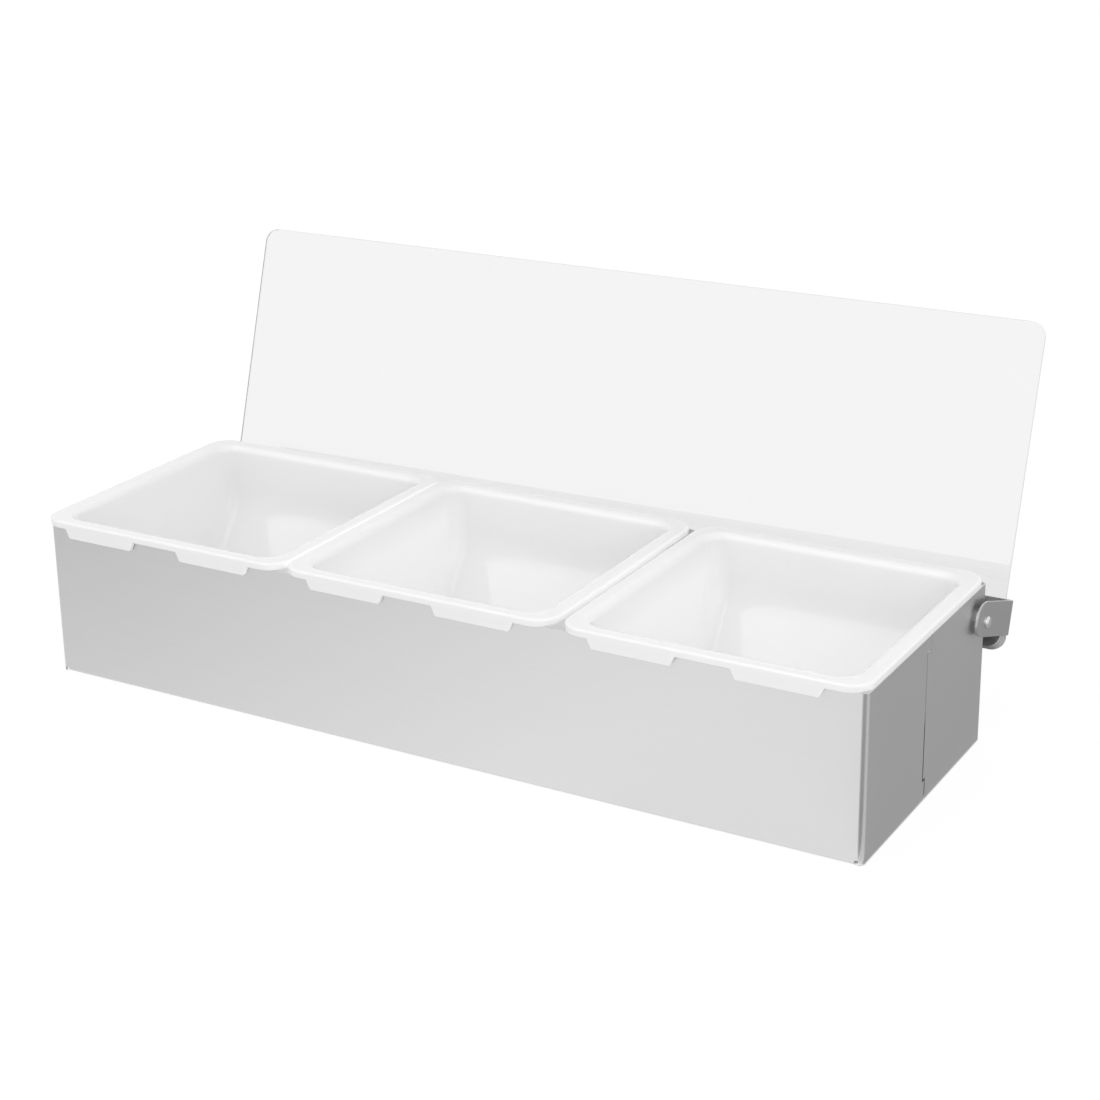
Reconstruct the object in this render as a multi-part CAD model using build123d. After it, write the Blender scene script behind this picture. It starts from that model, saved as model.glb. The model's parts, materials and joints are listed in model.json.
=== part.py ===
from build123d import *
import os
from math import cos, radians, sin, tan

# Condiment caddy: a folded steel case, three lift-out trays and one clear lid hinged behind them.
# Millimetres. The origin is the middle of the base, +X to the right, +Y to the lid, +Z up.
# The lid is modelled standing open, as it leans back behind the case.

# Case: one folded sheet. The end flaps are bent round from the front and back walls.
case_depth = 148.0
case_height = 82.4
case_sheet = 0.8
corner_bend = 3.0          # outside radius of the upright corners
base_bend = 1.2            # outside radius along the bottom edges
relief_radius = 1.25       # corner relief hole where the bends would meet
seam_gap = 1.1             # slot between the two flaps of an end
seam_offset = -3.6         # the seam's middle, from the middle of the depth
seam_top_jog = 4.5         # sideways step of the seam near the top
seam_top_drop = 7.0        # how far below the top edge that step lies
seam_base_jog = 2.5
seam_base_rise = 11.0
end_tab_height = 40.0      # upturned end of the bottom sheet, inside the flaps
end_tab_edge = 6.0         # how far that tab stops short of the front and back walls
lap_gap = 0.2              # between the tab and the flaps
tab_corner = 5.0

# Hinge pins: studs riveted through the end flaps, near the back.
pivot_from_back = 9.6      # pivot axis, in front of the outside of the back wall
pivot_below_top = 16.3     # pivot axis, below the top edge
pin_radius = 3.05
pin_clearance = 0.1
pin_proud = 1.2            # how far the tip stands out of the ear
pin_chamfer = 1.0
stud_shank_radius = 2.0
stud_hole_clearance = 0.05
stud_head_radius = 3.8
stud_head_height = 0.9
stud_shoulder_radius = 4.2
stud_shoulder_height = 1.4
stud_washer_radius = 5.0
stud_washer_height = 0.7
washer_clearance = 0.1

# Hinge brackets: a plate behind the lid and an ear that reaches round to the pin.
bracket_sheet = 1.2
bracket_bend = 2.4         # outside radius of the bend
plate_to_pivot = 26.1      # pivot axis to the face that the lid lies on
plate_above = 10.0         # top of the plate and the ear, above the pivot's foot on the plate
plate_below = 15.7
plate_run = 46.0           # how far the plate runs inwards from the ear
plate_corner = 5.0
plate_outer_corner = 7.0   # under the ear
ear_offset = 4.4           # outside of the ear at the pin, from the outside of the end flap
ear_splay = 7.4            # the ear slants in from the bend to its free end, degrees
ear_past_pin = 10.8
ear_below = 7.1
ear_top_corner = 9.0
ear_lower_corner = 5.4
ear_step = 1.8             # the plate's lower part stops this far inside the bend

# Lid: one flat clear sheet, riveted to the front faces of the brackets.
lid_sheet = 2.3
lid_past_case = 4.0        # each end of the lid, beyond the end of the case
lid_above = 145.4          # top edge above the pivot's foot
lid_below = 14.5
lid_top_corner = 8.0
lid_lower_corner = 7.0
lid_edge_break = 0.3
lid_lean = 17.3            # leans back from upright, degrees

# Rivets that hold the lid, two to a bracket, each with a washer on the clear sheet.
rivet_spacing = 14.0
rivet_from_ear = 24.0      # outer rivet, from the outside of the ear at the pin
rivet_below = 9.0          # below the pivot's foot
rivet_shank_radius = 1.6
rivet_hole_clearance = 0.1
rivet_head_radius = 2.75
rivet_head_height = 1.0
rivet_dome_height = 1.4    # formed head behind the plate
lid_washer_radius = 3.5
lid_washer_height = 0.6

# Trays: three alike, hung by their rims on the front and back walls.
tray_rim_length = 152.0
tray_rim_overhang = 2.5    # rim beyond the outside of the front and back walls
tray_rim_height = 3.5
tray_rim_corner = 12.0
tray_rim_round = 1.2
tray_rim_flat = 5.5        # flat top of the rim
tray_mouth_round = 4.0     # soft roll from the rim down into the mouth
tray_wall = 1.6
tray_base_gap = 8.0        # under the tray
tray_end_draft = 3.5       # left and right walls, degrees
tray_front_draft = 1.5     # upright part of the front and back walls
tray_bend_depth = 32.1     # below the rim's top, where the front and back walls turn inwards
tray_slope = 40.0          # of the front and back walls below that bend, from upright
tray_bend_round = 26.0     # inside radius of that bend
tray_floor_round = 14.0    # inside radius where the slopes meet the floor
tray_corner = 10.0         # inside radius where the ends meet the front, the slopes and the floor

# The row of trays, from the left. It reaches past the left-hand end of the case.
row_past_left_end = 3.7
row_short_of_right_end = 0.3
row_gaps = {"left": 0.0, "centre": 0.4, "right": 4.0}

# Two lips on each tray hook over the front wall.
lip_spacing = 72.0
lip_offset = -1.5          # middle of the pair, from the middle of the tray
lip_drop = 4.9
lip_top_length = 44.6
lip_lower_length = 40.0
lip_clearance = 0.3
lip_corner = 1.0

# Worked out
row_length = len(row_gaps) * tray_rim_length + sum(row_gaps.values())
case_length = row_length - row_past_left_end + row_short_of_right_end
half_length = case_length / 2
half_depth = case_depth / 2
lid_half_length = half_length + lid_past_case
pivot_y = half_depth - pivot_from_back
pivot_z = case_height - pivot_below_top
ear_at_pin = half_length + ear_offset
outer_rivet = ear_at_pin - rivet_from_ear
rivet_places = {"outer": outer_rivet, "inner": outer_rivet - rivet_spacing}
lid_frame = Location((0, pivot_y, pivot_z), (-lid_lean, 0, 0))
sides = {"left": -1, "right": 1}


def on_side(shape, side):
    """The right-hand shape as it is, or its mirror image for the left."""
    return shape if side > 0 else mirror(shape, Plane.YZ)


def block(x, y, z):
    """A box between two values on each axis."""
    size = (x[1] - x[0], y[1] - y[0], z[1] - z[0])
    middle = ((x[0] + x[1]) / 2, (y[0] + y[1]) / 2, (z[0] + z[1]) / 2)
    return Pos(*middle) * Box(*size)


def bar(radius, x):
    """A round bar along the X axis between two values of X."""
    return Plane.YZ.offset(x[0]) * extrude(Circle(radius), amount=x[1] - x[0])


def round_edge(shape, point, radius):
    """Round the one edge whose middle is nearest to a point."""
    nearest = min(shape.edges(), key=lambda edge: (edge.center() - Vector(*point)).length)
    return fillet(nearest, radius)


def round_vertex(face, point, radius):
    """Round the one corner of a flat outline that is nearest to a point."""
    nearest = min(face.vertices(), key=lambda corner: (Vector(*corner) - Vector(*point)).length)
    return fillet(nearest, radius)


def end_seam(side):
    """The slot between the two flaps of an end, which steps sideways near the top and the base."""
    x = sorted((side * (half_length - case_sheet - lap_gap / 2), side * (half_length + case_sheet)))
    low_step = seam_base_rise
    high_step = case_height - seam_top_drop
    half_gap = seam_gap / 2
    runs = [
        (seam_offset + seam_base_jog, -case_sheet, low_step),
        (seam_offset, low_step, high_step),
        (seam_offset + seam_top_jog, high_step, case_height + case_sheet),
    ]
    slot = [block(x, (y - half_gap, y + half_gap), (z0 - half_gap, z1 + half_gap)) for y, z0, z1 in runs]
    for step, jog in ((low_step, seam_base_jog), (high_step, seam_top_jog)):
        y = (seam_offset - half_gap, seam_offset + jog + half_gap)
        slot.append(block(x, y, (step - half_gap, step + half_gap)))
    return slot


def case_shell():
    """Bottom, walls, end flaps and inner end tabs, folded from one sheet."""
    outer = RectangleRounded(case_length, case_depth, corner_bend)
    inner = RectangleRounded(
        case_length - 2 * case_sheet, case_depth - 2 * case_sheet, corner_bend - case_sheet
    )
    wrap = extrude(outer - inner, amount=case_height)
    bend_start = half_length - corner_bend
    ends = wrap - block((-bend_start, bend_start), (-case_depth, case_depth), (-case_sheet, 2 * case_height))

    channel_outside = Rectangle(case_depth, case_height, align=(Align.CENTER, Align.MIN))
    for side in sides.values():
        channel_outside = round_vertex(channel_outside, (side * half_depth, 0, 0), base_bend)
    hollow = Rectangle(case_depth - 2 * case_sheet, case_height, align=(Align.CENTER, Align.MIN))
    for side in sides.values():
        hollow = round_vertex(hollow, (side * (half_depth - case_sheet), 0, 0), base_bend - case_sheet)
    channel = channel_outside - Pos(0, case_sheet) * hollow
    walls = Plane.YZ.offset(-bend_start) * extrude(channel, amount=2 * bend_start)

    tab_face = half_length - case_sheet - lap_gap
    pan = Rectangle(2 * tab_face, end_tab_height, align=(Align.CENTER, Align.MIN))
    pan_hollow = Rectangle(2 * (tab_face - case_sheet), end_tab_height, align=(Align.CENTER, Align.MIN))
    for side in sides.values():
        pan = round_vertex(pan, (side * tab_face, 0, 0), base_bend)
        pan_hollow = round_vertex(pan_hollow, (side * (tab_face - case_sheet), 0, 0), base_bend - case_sheet)
    tab_half_width = half_depth - end_tab_edge
    floor = Plane.XZ.offset(-tab_half_width) * extrude(
        pan - Pos(0, case_sheet) * pan_hollow, amount=2 * tab_half_width
    )
    for side in sides.values():
        for end in sides.values():
            corner = (end * (tab_face - case_sheet / 2), side * tab_half_width, end_tab_height)
            floor = round_edge(floor, corner, tab_corner)

    shell = walls + ends + floor
    for side in sides.values():
        shell -= end_seam(side)
        for end in sides.values():
            relief = Cylinder(relief_radius, 2 * base_bend, rotation=(90, 0, 0))
            shell -= Pos(end * bend_start, side * half_depth, base_bend) * relief
    hole = bar(stud_shank_radius + stud_hole_clearance, (-case_length, case_length))
    return shell - Pos(0, pivot_y, pivot_z) * hole


def pivot_stud():
    """Right-hand hinge pin: head inside the end flap, shank through it, shoulder and pin outside."""
    inside = half_length - case_sheet
    shoulder = half_length + stud_shoulder_height
    tip = ear_at_pin + pin_proud
    stud = bar(stud_head_radius, (inside - stud_head_height, inside))
    stud += bar(stud_shank_radius, (inside, half_length))
    stud += bar(stud_shoulder_radius, (half_length, shoulder))
    stud += bar(pin_radius, (shoulder, tip))
    stud = chamfer(stud.edges().sort_by(Axis.X)[-1], pin_chamfer)
    return Pos(0, pivot_y, pivot_z) * stud


def stud_washer():
    """Right-hand washer between the stud's shoulder and the ear."""
    start = half_length + stud_shoulder_height
    x = (start, start + stud_washer_height)
    ring = bar(stud_washer_radius, x) - bar(pin_radius + washer_clearance, x)
    return Pos(0, pivot_y, pivot_z) * ring


def rivet_axis(x):
    """Where a lid rivet crosses the face between lid and plate, its own axis upright as drawn."""
    return Location((x, plate_to_pivot, -rivet_below), (90, 0, 0))


def hinge_bracket():
    """Right-hand bracket: the plate behind the lid and the ear on the pin, from one bent strip."""
    splay = radians(ear_splay)
    back = plate_to_pivot + bracket_sheet
    outer_bend = (ear_at_pin + back * tan(splay), back)
    inner_bend = (ear_at_pin + plate_to_pivot * tan(splay) - bracket_sheet / cos(splay), plate_to_pivot)
    free_end = (ear_at_pin - ear_past_pin * tan(splay), -ear_past_pin)
    free_inside = (free_end[0] - bracket_sheet * cos(splay), free_end[1] + bracket_sheet * sin(splay))
    plate_end = outer_bend[0] - plate_run
    outline = make_face(
        Polyline(
            (plate_end, back), outer_bend, free_end, free_inside, inner_bend, (plate_end, plate_to_pivot),
            close=True,
        )
    )
    outline = round_vertex(outline, (*outer_bend, 0), bracket_bend)
    outline = round_vertex(outline, (*inner_bend, 0), bracket_bend - bracket_sheet)
    strip = Plane.XY.offset(-plate_below) * extrude(outline, amount=plate_above + plate_below)

    plate_edge = outer_bend[0] - ear_step
    below_ear = (-2 * plate_below, -ear_below)
    strip -= block((0, case_length), (-case_depth, plate_to_pivot), below_ear)
    strip -= block((plate_edge, case_length), (-case_depth, case_depth), below_ear)
    middle = plate_to_pivot + bracket_sheet / 2
    strip = round_edge(strip, (plate_edge, middle, -plate_below), plate_outer_corner)
    for z in (-plate_below, plate_above):
        strip = round_edge(strip, (plate_end, middle, z), plate_corner)
    strip = round_edge(strip, (*free_end, plate_above), ear_top_corner)
    strip = round_edge(strip, (*free_end, -ear_below), ear_lower_corner)

    strip -= bar(pin_radius + pin_clearance, (half_length, case_length))
    for x in rivet_places.values():
        strip -= rivet_axis(x) * Cylinder(rivet_shank_radius + rivet_hole_clearance, 4 * bracket_sheet)
    return lid_frame * strip


def lid():
    """The clear sheet, with its edges broken and its rivet holes."""
    width = 2 * lid_half_length
    outline = Pos(0, (lid_above - lid_below) / 2) * Rectangle(width, lid_above + lid_below)
    for side in sides.values():
        outline = round_vertex(outline, (side * lid_half_length, lid_above, 0), lid_top_corner)
        outline = round_vertex(outline, (side * lid_half_length, -lid_below, 0), lid_lower_corner)
    sheet = Plane.XZ.offset(-plate_to_pivot) * extrude(outline, amount=lid_sheet)
    sheet = chamfer(sheet.faces().filter_by(Axis.Y).edges(), lid_edge_break)
    for side in sides.values():
        for x in rivet_places.values():
            hole = Cylinder(rivet_shank_radius + rivet_hole_clearance, 4 * lid_sheet)
            sheet -= rivet_axis(side * x) * hole
    return lid_frame * sheet


def lid_rivet(x):
    """A rivet: flat head on the washer in front, domed head formed behind the plate."""
    washer_face = lid_sheet + lid_washer_height
    shank = rivet_shank_radius
    head = rivet_head_radius
    half = make_face(
        Polyline(
            (0, -bracket_sheet - rivet_dome_height), (0, washer_face + rivet_head_height),
            (head, washer_face + rivet_head_height), (head, washer_face), (shank, washer_face),
            (shank, -bracket_sheet), (head, -bracket_sheet),
        )
        + RadiusArc(
            (0, -bracket_sheet - rivet_dome_height), (head, -bracket_sheet),
            (head**2 + rivet_dome_height**2) / (2 * rivet_dome_height),
        )
    )
    turned = revolve(Plane.XZ * half, Axis.Z)
    return lid_frame * rivet_axis(x) * turned


def lid_washer(x):
    """The washer that spreads a rivet's load on the clear sheet."""
    ring = Circle(lid_washer_radius) - Circle(rivet_shank_radius + rivet_hole_clearance)
    return lid_frame * rivet_axis(x) * Pos(0, 0, lid_sheet) * extrude(ring, amount=lid_washer_height)


def trough(growth):
    """The inside of a tray, or with growth its outside: upright walls that slope in to a narrow floor."""
    top = case_height + tray_rim_height
    bend = top - tray_bend_depth
    floor = tray_base_gap + tray_wall
    lead_in = tray_rim_flat + tray_mouth_round
    half_top = half_depth + tray_rim_overhang - lead_in
    half_bend = half_top - (top - bend) * tan(radians(tray_front_draft))
    half_floor = half_bend - (bend - floor) * tan(radians(tray_slope))
    section = make_face(
        Polyline(
            (-half_top, top), (-half_bend, bend), (-half_floor, floor),
            (half_floor, floor), (half_bend, bend), (half_top, top),
            close=True,
        )
    )
    end = tray_rim_length / 2 - lead_in
    end_foot = end - (top - floor) * tan(radians(tray_end_draft))
    taper = make_face(Polyline((-end, top), (-end_foot, floor), (end_foot, floor), (end, top), close=True))
    if growth:
        section = offset(section, growth, kind=Kind.INTERSECTION)
        taper = offset(taper, growth, kind=Kind.INTERSECTION)
    for side in sides.values():
        section = round_vertex(section, (side * half_floor, floor - growth, 0), tray_floor_round + growth)
        section = round_vertex(section, (side * (half_bend + growth), bend, 0), tray_bend_round + growth)
    reach = end + 2 * growth
    body = Plane.YZ.offset(-reach) * extrude(section, amount=2 * reach)
    reach = half_top + 2 * growth
    body &= Plane.XZ.offset(-reach) * extrude(taper, amount=2 * reach)
    ends = body.faces().sort_by(Axis.X)
    seams = [edge for face in (ends[0], ends[-1]) for edge in face.edges().sort_by(Axis.Z)[:-1]]
    return fillet(seams, tray_corner + growth)


def tray_body():
    """One tray about its own middle: trough, broad rim that rolls into the mouth, and two lips."""
    rim_depth = case_depth + 2 * tray_rim_overhang
    rim = Plane.XY.offset(case_height) * extrude(
        RectangleRounded(tray_rim_length, rim_depth, tray_rim_corner), amount=tray_rim_height
    )
    rim = fillet(rim.faces().sort_by(Axis.Z)[-1].edges(), tray_rim_round)
    tray = rim + split(trough(tray_wall), Plane.XY.offset(case_height), keep=Keep.BOTTOM)
    tray -= trough(0)
    tray = fillet(tray.faces().sort_by(Axis.Z)[-1].inner_wires()[0].edges(), tray_mouth_round)

    lip_thickness = tray_rim_overhang - lip_clearance
    lip_top = case_height + tray_rim_height / 2
    for place in (lip_offset - lip_spacing / 2, lip_offset + lip_spacing / 2):
        lip = make_face(
            Polyline(
                (-lip_top_length / 2, lip_top), (-lip_top_length / 2, case_height),
                (-lip_lower_length / 2, case_height - lip_drop),
                (lip_lower_length / 2, case_height - lip_drop),
                (lip_top_length / 2, case_height), (lip_top_length / 2, lip_top),
                close=True,
            )
        )
        for end in sides.values():
            lip = round_vertex(lip, (end * lip_lower_length / 2, case_height - lip_drop, 0), lip_corner)
        tray += Plane.XZ.offset(rim_depth / 2) * Pos(place, 0) * extrude(lip, amount=-lip_thickness)
    return tray


os.makedirs("parts", exist_ok=True)
nodes = {"case_shell": case_shell(), "lid_sheet": lid()}
tray = tray_body()
tray_start = -half_length - row_past_left_end
for place, gap in row_gaps.items():
    tray_start += gap
    nodes[f"tray_{place}"] = Pos(tray_start + tray_rim_length / 2, 0, 0) * tray
    tray_start += tray_rim_length
for name, side in sides.items():
    nodes[f"pivot_stud_{name}"] = on_side(pivot_stud(), side)
    nodes[f"stud_washer_{name}"] = on_side(stud_washer(), side)
    nodes[f"hinge_bracket_{name}"] = on_side(hinge_bracket(), side)
    for place, x in rivet_places.items():
        nodes[f"lid_rivet_{name}_{place}"] = lid_rivet(side * x)
        nodes[f"lid_washer_{name}_{place}"] = lid_washer(side * x)
for name, shape in nodes.items():
    export_step(shape, f"parts/{name}.step")
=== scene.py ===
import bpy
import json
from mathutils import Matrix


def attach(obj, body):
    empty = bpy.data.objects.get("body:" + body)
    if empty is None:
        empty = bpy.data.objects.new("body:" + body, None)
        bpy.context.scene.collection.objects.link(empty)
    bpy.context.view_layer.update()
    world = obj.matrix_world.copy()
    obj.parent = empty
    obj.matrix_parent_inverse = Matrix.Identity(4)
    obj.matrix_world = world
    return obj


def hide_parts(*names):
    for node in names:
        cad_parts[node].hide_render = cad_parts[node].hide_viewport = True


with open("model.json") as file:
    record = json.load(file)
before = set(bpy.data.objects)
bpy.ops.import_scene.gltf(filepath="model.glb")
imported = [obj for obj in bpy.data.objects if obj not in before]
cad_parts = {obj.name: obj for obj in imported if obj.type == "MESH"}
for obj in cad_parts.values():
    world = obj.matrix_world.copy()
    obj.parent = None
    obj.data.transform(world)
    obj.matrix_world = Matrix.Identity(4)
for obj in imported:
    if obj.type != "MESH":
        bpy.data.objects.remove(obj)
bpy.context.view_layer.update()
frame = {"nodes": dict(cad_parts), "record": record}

import json
from math import cos, radians, sin

import bmesh
import bpy
from mathutils import Matrix, Vector

nodes = frame["nodes"]
scene = bpy.context.scene
scene.view_settings.view_transform = "Standard"

# Camera, in metres and degrees. The right-hand front corner of the case is nearest.
camera_place = (0.56035, -0.91113, 0.48743)
camera_yaw = 30.20
camera_pitch = 18.95
camera_roll = 0.84
camera_lens = 74.82
camera_shift_up = -0.0643
sensor_width = 36

# Materials
white = (1, 1, 1, 1)
noise_range = (0.25, 0.75)      # where most of a noise's values lie
rough_shares = (0.85, 1.15)     # how far a roughness wanders
painted_glow_reach = 0.03         # a gap narrower than this, between the trays and the case, gets a painted glow
painted_gap_glow = 0.28             # strength of that painted glow, standing in for light soaking through the plastic
painted_left_wall_glow = 0.065         # painted glow on a left wall, standing in for light from the tray beside it
painted_glow_wall_span = (-0.062, -0.056)   # from a tray's middle, where that painted glow fades out
painted_glow_rim_span = (0.068, 0.082)       # height at which it ends, below the rim

# Stage
floor_half_size = 6.0
floor_colour = 0.8
floor_glow = 1.08
floor_glow_share = 0.8          # the rest is lit, and keeps the object's shadow
floor_share_in_reflections = 0.9
world_received = 0.88           # strength that lights the pieces
world_seen = 1.0
card_height = 0.0005
lamp_target = (0, 0, 0.05)


def make_camera():
    yaw, pitch, roll = radians(camera_yaw), radians(camera_pitch), radians(camera_roll)
    ahead = Vector((-sin(yaw) * cos(pitch), cos(yaw) * cos(pitch), -sin(pitch)))
    right = Vector((cos(yaw), sin(yaw), 0))
    down = ahead.cross(right)
    across = right * cos(roll) + down * sin(roll)
    upward = right * sin(roll) - down * cos(roll)
    data = bpy.data.cameras.new("camera")
    data.sensor_width = sensor_width
    data.lens = camera_lens
    data.shift_y = camera_shift_up
    camera = bpy.data.objects.new("camera", data)
    turn = Matrix((across, upward, -ahead)).transposed()
    camera.matrix_world = Matrix.Translation(camera_place) @ turn.to_4x4()
    scene.collection.objects.link(camera)
    scene.camera = camera


# Small helpers for materials
def new_material(name, **values):
    material = bpy.data.materials.new(name)
    material.use_nodes = True
    shader = material.node_tree.nodes["Principled BSDF"]
    for key, value in values.items():
        shader.inputs[key.replace("_", " ")].default_value = value
    return material, material.node_tree, shader


def node(tree, kind, place=(0, 0), **settings):
    made = tree.nodes.new(kind)
    made.location = place
    for key, value in settings.items():
        setattr(made, key, value)
    return made


def map_range(tree, source, given, wanted, place=(0, 0)):
    """Carry a value from one range to another."""
    made = node(tree, "ShaderNodeMapRange", place)
    ends = ("From Min", "From Max", "To Min", "To Max")
    for name, value in zip(ends, (*given, *wanted)):
        made.inputs[name].default_value = value
    tree.links.new(source, made.inputs["Value"])
    return made.outputs["Result"]


def reckon(tree, operation, first, second, place=(0, 0)):
    """Work out a value from a socket and either another socket or a number."""
    made = node(tree, "ShaderNodeMath", place, operation=operation)
    tree.links.new(first, made.inputs[0])
    if isinstance(second, bpy.types.NodeSocket):
        tree.links.new(second, made.inputs[1])
    else:
        made.inputs[1].default_value = second
    return made.outputs[0]


def object_coordinates(tree, place):
    return node(tree, "ShaderNodeTexCoord", place).outputs["Object"]


def noise(tree, where, scale, place, **levels):
    made = node(tree, "ShaderNodeTexNoise", place)
    made.inputs["Scale"].default_value = scale
    for key, value in levels.items():
        made.inputs[key].default_value = value
    tree.links.new(where, made.inputs["Vector"])
    return made.outputs["Fac"]


def vary_roughness(tree, shader, amount, low, high):
    rough = map_range(tree, amount, noise_range, (low, high), (-650, -100))
    tree.links.new(rough, shader.inputs["Roughness"])


def vary_grey(tree, shader, amount, dark, light):
    """Vary a material's colour between two greys."""
    colour = node(tree, "ShaderNodeMix", (-500, 200), data_type="RGBA")
    colour.inputs["A"].default_value = (dark, dark, dark, 1)
    colour.inputs["B"].default_value = (light, light, light, 1)
    tree.links.new(amount, colour.inputs["Factor"])
    tree.links.new(colour.outputs["Result"], shader.inputs["Base Color"])


def add_bump(tree, shader, height, strength, distance):
    bump = node(tree, "ShaderNodeBump", (-400, -300))
    bump.inputs["Strength"].default_value = strength
    bump.inputs["Distance"].default_value = distance
    tree.links.new(height, bump.inputs["Height"])
    tree.links.new(bump.outputs["Normal"], shader.inputs["Normal"])


def add_painted_glow(tree, shader, strength):
    shader.inputs["Emission Color"].default_value = white
    tree.links.new(strength, shader.inputs["Emission Strength"])


# Brushed grain: a group that gives the streaks of a brushed sheet and its larger patches
def grain_group():
    tree = bpy.data.node_groups.new("brushed grain", "ShaderNodeTree")
    face = tree.interface
    for name, value in (("Along X", 4.0), ("Along Y", 4.0), ("Along Z", 900.0)):
        socket = face.new_socket(name=name, in_out="INPUT", socket_type="NodeSocketFloat")
        socket.default_value = value
    for name in ("Streaks", "Patches"):
        face.new_socket(name=name, in_out="OUTPUT", socket_type="NodeSocketFloat")
    inputs = node(tree, "NodeGroupInput", (-900, 0))
    outputs = node(tree, "NodeGroupOutput", (500, 0))
    where = object_coordinates(tree, (-900, 300))
    scale = node(tree, "ShaderNodeCombineXYZ", (-700, 0))
    for axis, name in zip("XYZ", ("Along X", "Along Y", "Along Z")):
        tree.links.new(inputs.outputs[name], scale.inputs[axis])
    stretched = node(tree, "ShaderNodeVectorMath", (-500, 100), operation="MULTIPLY")
    tree.links.new(where, stretched.inputs[0])
    tree.links.new(scale.outputs[0], stretched.inputs[1])
    streaks = noise(tree, stretched.outputs[0], 1.0, (-250, 200), Detail=6.0, Roughness=0.7)
    patches = noise(tree, where, 9.0, (-250, -200), Detail=2.0)
    tree.links.new(streaks, outputs.inputs["Streaks"])
    tree.links.new(patches, outputs.inputs["Patches"])
    return tree


def steel(name, grain, colour, rough, contrast, grain_depth, scales):
    material, tree, shader = new_material(name, Metallic=1.0, Roughness=rough)
    brushed = node(tree, "ShaderNodeGroup", (-900, 0), node_tree=grain)
    for key, value in zip(("Along X", "Along Y", "Along Z"), scales):
        brushed.inputs[key].default_value = value
    streaks = brushed.outputs["Streaks"]
    shade = map_range(tree, streaks, noise_range, (1 - contrast, 1 + contrast), (-650, 200))
    tint = node(tree, "ShaderNodeMix", (-400, 200), data_type="RGBA", blend_type="MULTIPLY")
    tint.inputs["Factor"].default_value = 1.0
    tint.inputs["A"].default_value = (*colour, 1)
    tree.links.new(shade, tint.inputs["B"])
    tree.links.new(tint.outputs["Result"], shader.inputs["Base Color"])
    vary_roughness(tree, shader, brushed.outputs["Patches"], *(rough * share for share in rough_shares))
    add_bump(tree, shader, streaks, strength=1.0, distance=grain_depth)
    return material


def white_plastic(name, rough):
    """Semi-gloss white. The object coordinates come back with it."""
    material, tree, shader = new_material(
        name, Roughness=rough, IOR=1.5, Subsurface_Weight=0.6, Subsurface_Scale=0.0015
    )
    shader.inputs["Subsurface Radius"].default_value = (1.0, 1.0, 1.0)
    where = object_coordinates(tree, (-1100, 0))
    vary_grey(tree, shader, noise(tree, where, 14.0, (-900, 200)), 0.94, 0.95)
    fine = noise(tree, where, 500.0, (-900, -200))
    vary_roughness(tree, shader, fine, *(rough * share for share in rough_shares))
    add_bump(tree, shader, fine, strength=0.3, distance=0.00002)
    return material, tree, shader, where


def tray_outside_plastic_painted_glow():
    """A painted glow lifts the tight gaps outside the tray, standing in for light soaking through the
    plastic.
    """
    material, tree, shader, where = white_plastic("white tray plastic, outside", 0.2)
    # painted glow, stronger where the gap is tighter
    openness = node(tree, "ShaderNodeAmbientOcclusion", (-650, -500), samples=8)
    openness.inputs["Distance"].default_value = painted_glow_reach
    add_painted_glow(tree, shader, map_range(tree, openness.outputs["AO"], (0, 1), (painted_gap_glow, 0), (-400, -500)))
    return material


def tray_inside_plastic(tray, beside_another):
    """Glossier. A painted glow brightens a tray's left wall where another tray stands on its left, standing
    in for the light from that tray.
    """
    material, tree, shader, where = white_plastic("white tray plastic, " + tray, 0.03)
    if not beside_another:
        return material
    # painted glow: full at the left wall, fading out towards the middle and towards the rim
    split = node(tree, "ShaderNodeSeparateXYZ", (-900, -500))
    tree.links.new(where, split.inputs[0])
    across = [vert.co.x for vert in nodes[tray].data.vertices]
    middle = (min(across) + max(across)) / 2
    wall = [middle + distance for distance in painted_glow_wall_span]
    near_wall = map_range(tree, split.outputs["X"], wall, (painted_left_wall_glow, 0), (-650, -500))
    below_rim = map_range(tree, split.outputs["Z"], painted_glow_rim_span, (1, 0), (-650, -750))
    add_painted_glow(tree, shader, reckon(tree, "MULTIPLY", near_wall, below_rim, (-400, -500)))
    return material


def clear_plastic(name, transmission, roughs):
    material, tree, shader = new_material(name, Transmission_Weight=transmission, IOR=1.49)
    haze = noise(tree, object_coordinates(tree, (-1100, 0)), 30.0, (-900, 0))
    vary_roughness(tree, shader, haze, *roughs)
    vary_grey(tree, shader, haze, 0.885, 0.9)
    return material


def outward_faces(shape):
    """A tray's faces that point away from its middle."""
    middle = sum((vert.co for vert in shape.verts), Vector()) / len(shape.verts)
    chosen = []
    for face in shape.faces:
        away = face.calc_center_median() - middle
        away.z = min(away.z, 0)
        if face.normal.dot(away) > 0:
            chosen.append(face)
    return chosen


def cut_faces(shape):
    """A flat sheet's faces that stand across its large ones."""
    large = max(shape.faces, key=lambda face: face.calc_area())
    return [face for face in shape.faces if abs(face.normal.dot(large.normal)) < 0.5]


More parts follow.
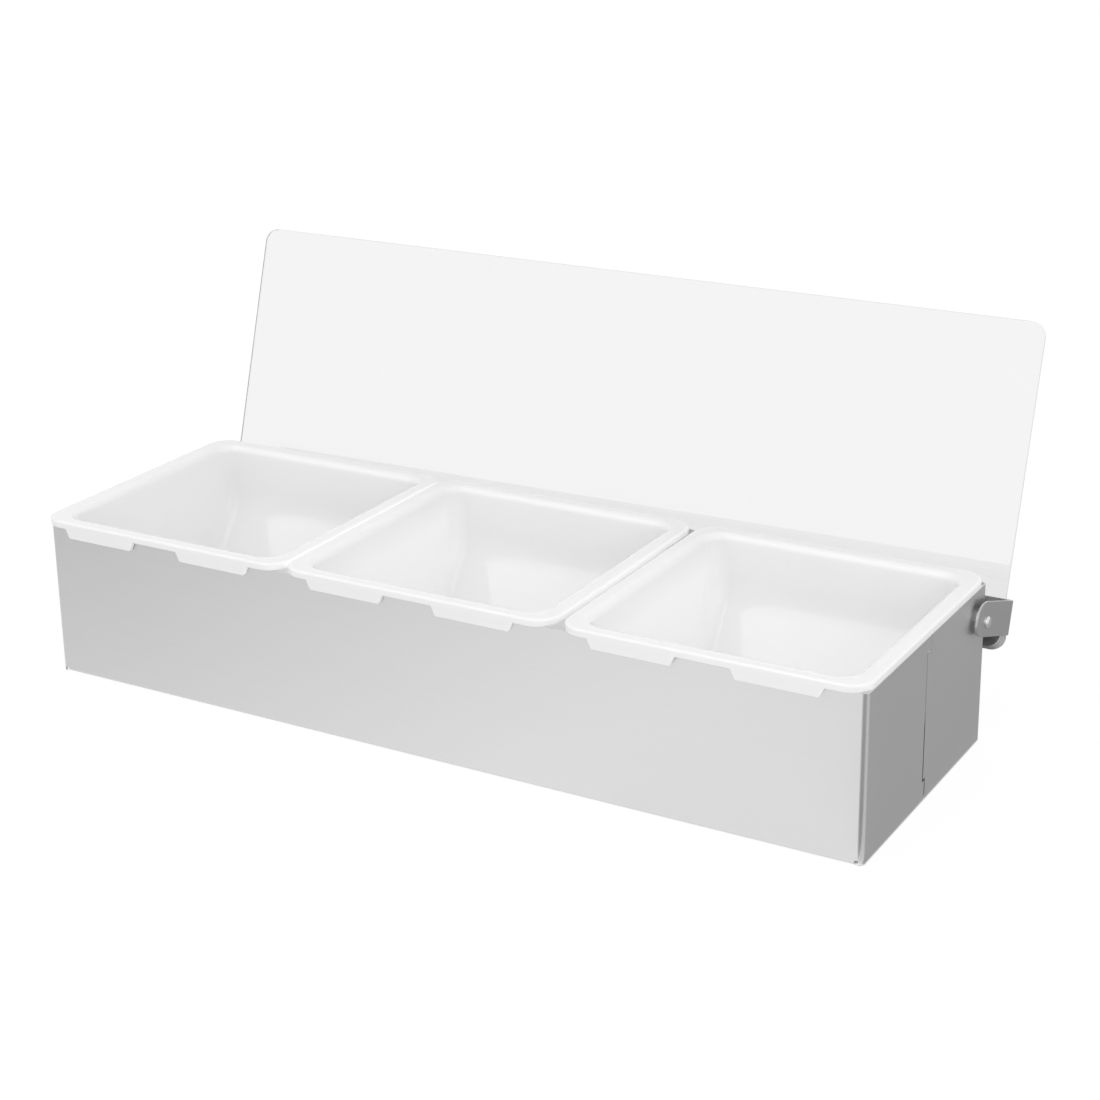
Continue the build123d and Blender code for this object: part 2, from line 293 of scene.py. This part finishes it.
# Pieces: each is the CAD node's own shape, merged, with soft cut edges and smooth bends
def dress(name, body, material, edge, second=None, choose_second=None, smooth_angle=32):
    mesh = bpy.data.meshes.new(name + "_finished")
    shape = bmesh.new()
    shape.from_mesh(nodes[name].data)
    bmesh.ops.remove_doubles(shape, verts=shape.verts, dist=1e-6)
    bmesh.ops.dissolve_limit(
        shape, angle_limit=radians(0.05), verts=shape.verts, edges=shape.edges,
        use_dissolve_boundaries=False
    )
    for face in shape.faces:
        face.smooth = True
    for line in shape.edges:
        line.smooth = line.calc_face_angle(0) < radians(smooth_angle)
    if second:
        for face in choose_second(shape):
            face.material_index = 1
    shape.to_mesh(mesh)
    shape.free()
    piece = bpy.data.objects.new(name + "_finished", mesh)
    mesh.materials.append(material)
    if second:
        mesh.materials.append(second)
    scene.collection.objects.link(piece)
    if edge:
        bevel = piece.modifiers.new("cut edges", "BEVEL")
        bevel.width = edge
        bevel.segments = 2
        bevel.limit_method = "ANGLE"
        bevel.angle_limit = radians(smooth_angle)
        bevel.harden_normals = True
    normals = piece.modifiers.new("even shading", "WEIGHTED_NORMAL")
    normals.keep_sharp = True
    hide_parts(name)
    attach(piece, body)


# Stage
def seen_or_through(tree, path):
    """1 for what the camera sees directly or through the clear sheet, 0 for what lights the pieces."""
    direct = reckon(tree, "LESS_THAN", path.outputs["Diffuse Depth"], 0.5, (-800, 300))
    through = reckon(tree, "MULTIPLY", path.outputs["Is Transmission Ray"], direct, (-600, 300))
    return reckon(tree, "MAXIMUM", path.outputs["Is Camera Ray"], through, (-400, 300))


def make_floor():
    """A pale floor that reads as white and keeps a faint shadow."""
    mesh = bpy.data.meshes.new("floor")
    shape = bmesh.new()
    bmesh.ops.create_grid(shape, x_segments=1, y_segments=1, size=floor_half_size)
    shape.to_mesh(mesh)
    shape.free()
    floor = bpy.data.objects.new("floor", mesh)
    scene.collection.objects.link(floor)
    material, tree, shader = new_material("floor", Roughness=1.0)
    shader.inputs["Specular IOR Level"].default_value = 0.0
    shader.inputs["Base Color"].default_value = (floor_colour, floor_colour, floor_colour, 1)
    path = node(tree, "ShaderNodeLightPath", (-1000, 300))
    reflection = path.outputs["Is Glossy Ray"]
    reflected = reckon(tree, "MULTIPLY", reflection, floor_share_in_reflections, (-400, 100))
    seen = reckon(tree, "MAXIMUM", seen_or_through(tree, path), reflected, (-200, 300))
    share = reckon(tree, "MULTIPLY", seen, floor_glow_share, (0, 300))
    glow = node(tree, "ShaderNodeEmission", (-200, 100))
    glow.inputs["Color"].default_value = white
    glow.inputs["Strength"].default_value = floor_glow
    blend = node(tree, "ShaderNodeMixShader", (300, 200))
    for number, source in enumerate((share, shader.outputs[0], glow.outputs[0])):
        tree.links.new(source, blend.inputs[number])
    tree.links.new(blend.outputs[0], tree.nodes["Material Output"].inputs["Surface"])
    mesh.materials.append(material)


def card(name, corners, shade, far_shade=None, span=(0, 1), seen_through_lid=False):
    """A card that only reflections show, or only the clear lid, even or fading along X."""
    mesh = bpy.data.meshes.new(name)
    shape = bmesh.new()
    shape.faces.new([shape.verts.new(corner) for corner in corners])
    shape.to_mesh(mesh)
    shape.free()
    made = bpy.data.objects.new(name, mesh)
    scene.collection.objects.link(made)
    material, tree, shader = new_material(name, Roughness=1.0)
    glow = node(tree, "ShaderNodeEmission", (-200, 100))
    glow.inputs["Strength"].default_value = shade
    if far_shade is not None:
        split = node(tree, "ShaderNodeSeparateXYZ", (-800, 0))
        tree.links.new(object_coordinates(tree, (-1000, 0)), split.inputs[0])
        along = map_range(tree, split.outputs["X"], span, (shade, far_shade), (-500, 0))
        tree.links.new(along, glow.inputs["Strength"])
    tree.links.new(glow.outputs[0], tree.nodes["Material Output"].inputs["Surface"])
    mesh.materials.append(material)
    made.visible_camera = False
    made.visible_diffuse = False
    made.visible_glossy = not seen_through_lid
    made.visible_transmission = seen_through_lid
    made.visible_shadow = False


def floor_card(name, outline, **settings):
    """A card flat on the floor."""
    card(name, [(x, y, card_height) for x, y in outline], **settings)


def room_card(name, distance, azimuths, elevations, shade):
    """A tall card far off, between two directions left of straight ahead and two heights, in degrees."""
    first, last = azimuths
    low, high = elevations
    corners = []
    for azimuth, elevation in ((first, low), (last, low), (last, high), (first, high)):
        flat = distance * cos(radians(elevation))
        left, forward = flat * sin(radians(azimuth)), flat * cos(radians(azimuth))
        corners.append((-left, -forward, distance * sin(radians(elevation))))
    card(name, corners, shade)


def make_cards():
    """Grey and white cards that paint the steel's reflections, a window that paints the trays' reflections,
    and a painted cast shadow.
    """
    case_points = [vert.co for vert in nodes["case_shell"].data.vertices]
    end = max(point.x for point in case_points)
    front = min(point.y for point in case_points)
    right = ((end + 0.0002, front), (2.2, 1.2), (2.2, 2.5), (end + 0.0002, 2.5))
    corner = ((end - 0.002, front - 0.006), (0.2, -0.46), (0.66, -0.6), (0.8, -0.25))
    edge = ((end - 0.001, front - 0.003), (0.8, -0.25), (2.2, -0.4), (2.2, 1.2))
    left = ((-2.5, -2.5), (0.1, -2.5), (0.1, front - 0.0005), (-2.5, front - 0.0005))
    behind = ((-0.35, 0.1), (0.4, 0.1), (0.4, 0.3075), (0.1, 0.3045), (-0.35, 0.289))
    # Painted shade in reflections: the right card stands for the floor in the case's shadow, the corner
    # card paints a dark band on the corner bend, the edge card dims the bright line beside it, and the left
    # card darkens the front panel's reflection towards the left.
    floor_card("right card", right, shade=0.42)
    floor_card("corner card", corner, shade=0.3)
    floor_card("edge card", edge, shade=0.68)
    floor_card("left card", left, shade=0.68, far_shade=1.0, span=(-0.4, 0.05))
    floor_card("shadow behind the case", behind, shade=0.915, seen_through_lid=True)
    # The window lights nothing: it is a painted reflection, seen only in glossy surfaces.
    room_card("window", distance=4.0, azimuths=(-5, 75), elevations=(19, 80), shade=2.3)


def lamp(name, place, size, power):
    data = bpy.data.lights.new(name, "AREA")
    data.shape = "RECTANGLE"
    data.size, data.size_y = size
    data.energy = power
    made = bpy.data.objects.new(name, data)
    made.location = place
    aim = Vector(lamp_target) - Vector(place)
    made.rotation_euler = aim.to_track_quat("-Z", "Y").to_euler()
    scene.collection.objects.link(made)


def make_world():
    """Even light from all round, a little stronger where the camera sees it."""
    world = bpy.data.worlds.new("studio")
    scene.world = world
    world.use_nodes = True
    tree = world.node_tree
    seen = seen_or_through(tree, node(tree, "ShaderNodeLightPath", (-1000, 300)))
    strength = map_range(tree, seen, (0, 1), (world_received, world_seen), (-200, 300))
    background = tree.nodes["Background"]
    background.inputs["Color"].default_value = white
    tree.links.new(strength, background.inputs["Strength"])


make_camera()

grain = grain_group()
steels = {
    "case_steel": steel(
        "brushed case steel", grain, colour=(0.72, 0.72, 0.72), rough=0.34, contrast=0.02,
        grain_depth=0.000005, scales=(5, 5, 2600)
    ),
    "bracket_steel": steel(
        "bracket steel", grain, colour=(0.6, 0.6, 0.61), rough=0.3, contrast=0.04,
        grain_depth=0.000008, scales=(30, 30, 900)
    ),
    "bright_steel": steel(
        "bright steel", grain, colour=(0.8, 0.8, 0.8), rough=0.18, contrast=0.03,
        grain_depth=0.000004, scales=(60, 500, 500)
    ),
}
cut_edges = {"case_steel": 0.00012, "bracket_steel": 0.00018, "bright_steel": 0.00012}
tray_outside = tray_outside_plastic_painted_glow()
tray_insides = {
    tray: tray_inside_plastic(tray, beside_another=tray != "tray_left")
    for tray in ("tray_left", "tray_centre", "tray_right")
}
clear_lid = clear_plastic("clear lid plastic", transmission=1.0, roughs=(0.02, 0.05))
cut_lid = clear_plastic("clear lid plastic, cut edge", transmission=0.0, roughs=(0.3, 0.4))

record = frame["record"]
bodies = {member: body for body, members in record["behaviour"]["bodies"].items() for member in members}
slots = {row["node"]: row["material_slot"] for row in record["subparts"]}
for name, slot in slots.items():
    if name in tray_insides:
        dress(name, bodies[name], tray_insides[name], 0, tray_outside, outward_faces)
    elif name == "lid_sheet":
        dress(name, bodies[name], clear_lid, 0, cut_lid, cut_faces)
    else:
        dress(name, bodies[name], steels[slot], cut_edges[slot])

make_floor()
make_cards()
lamp("overhead", place=(-0.1, -0.1, 1.9), size=(2.4, 2.0), power=3)
lamp("side", place=(1.7, -1.35, 1.0), size=(1.6, 1.2), power=6.5)
make_world()
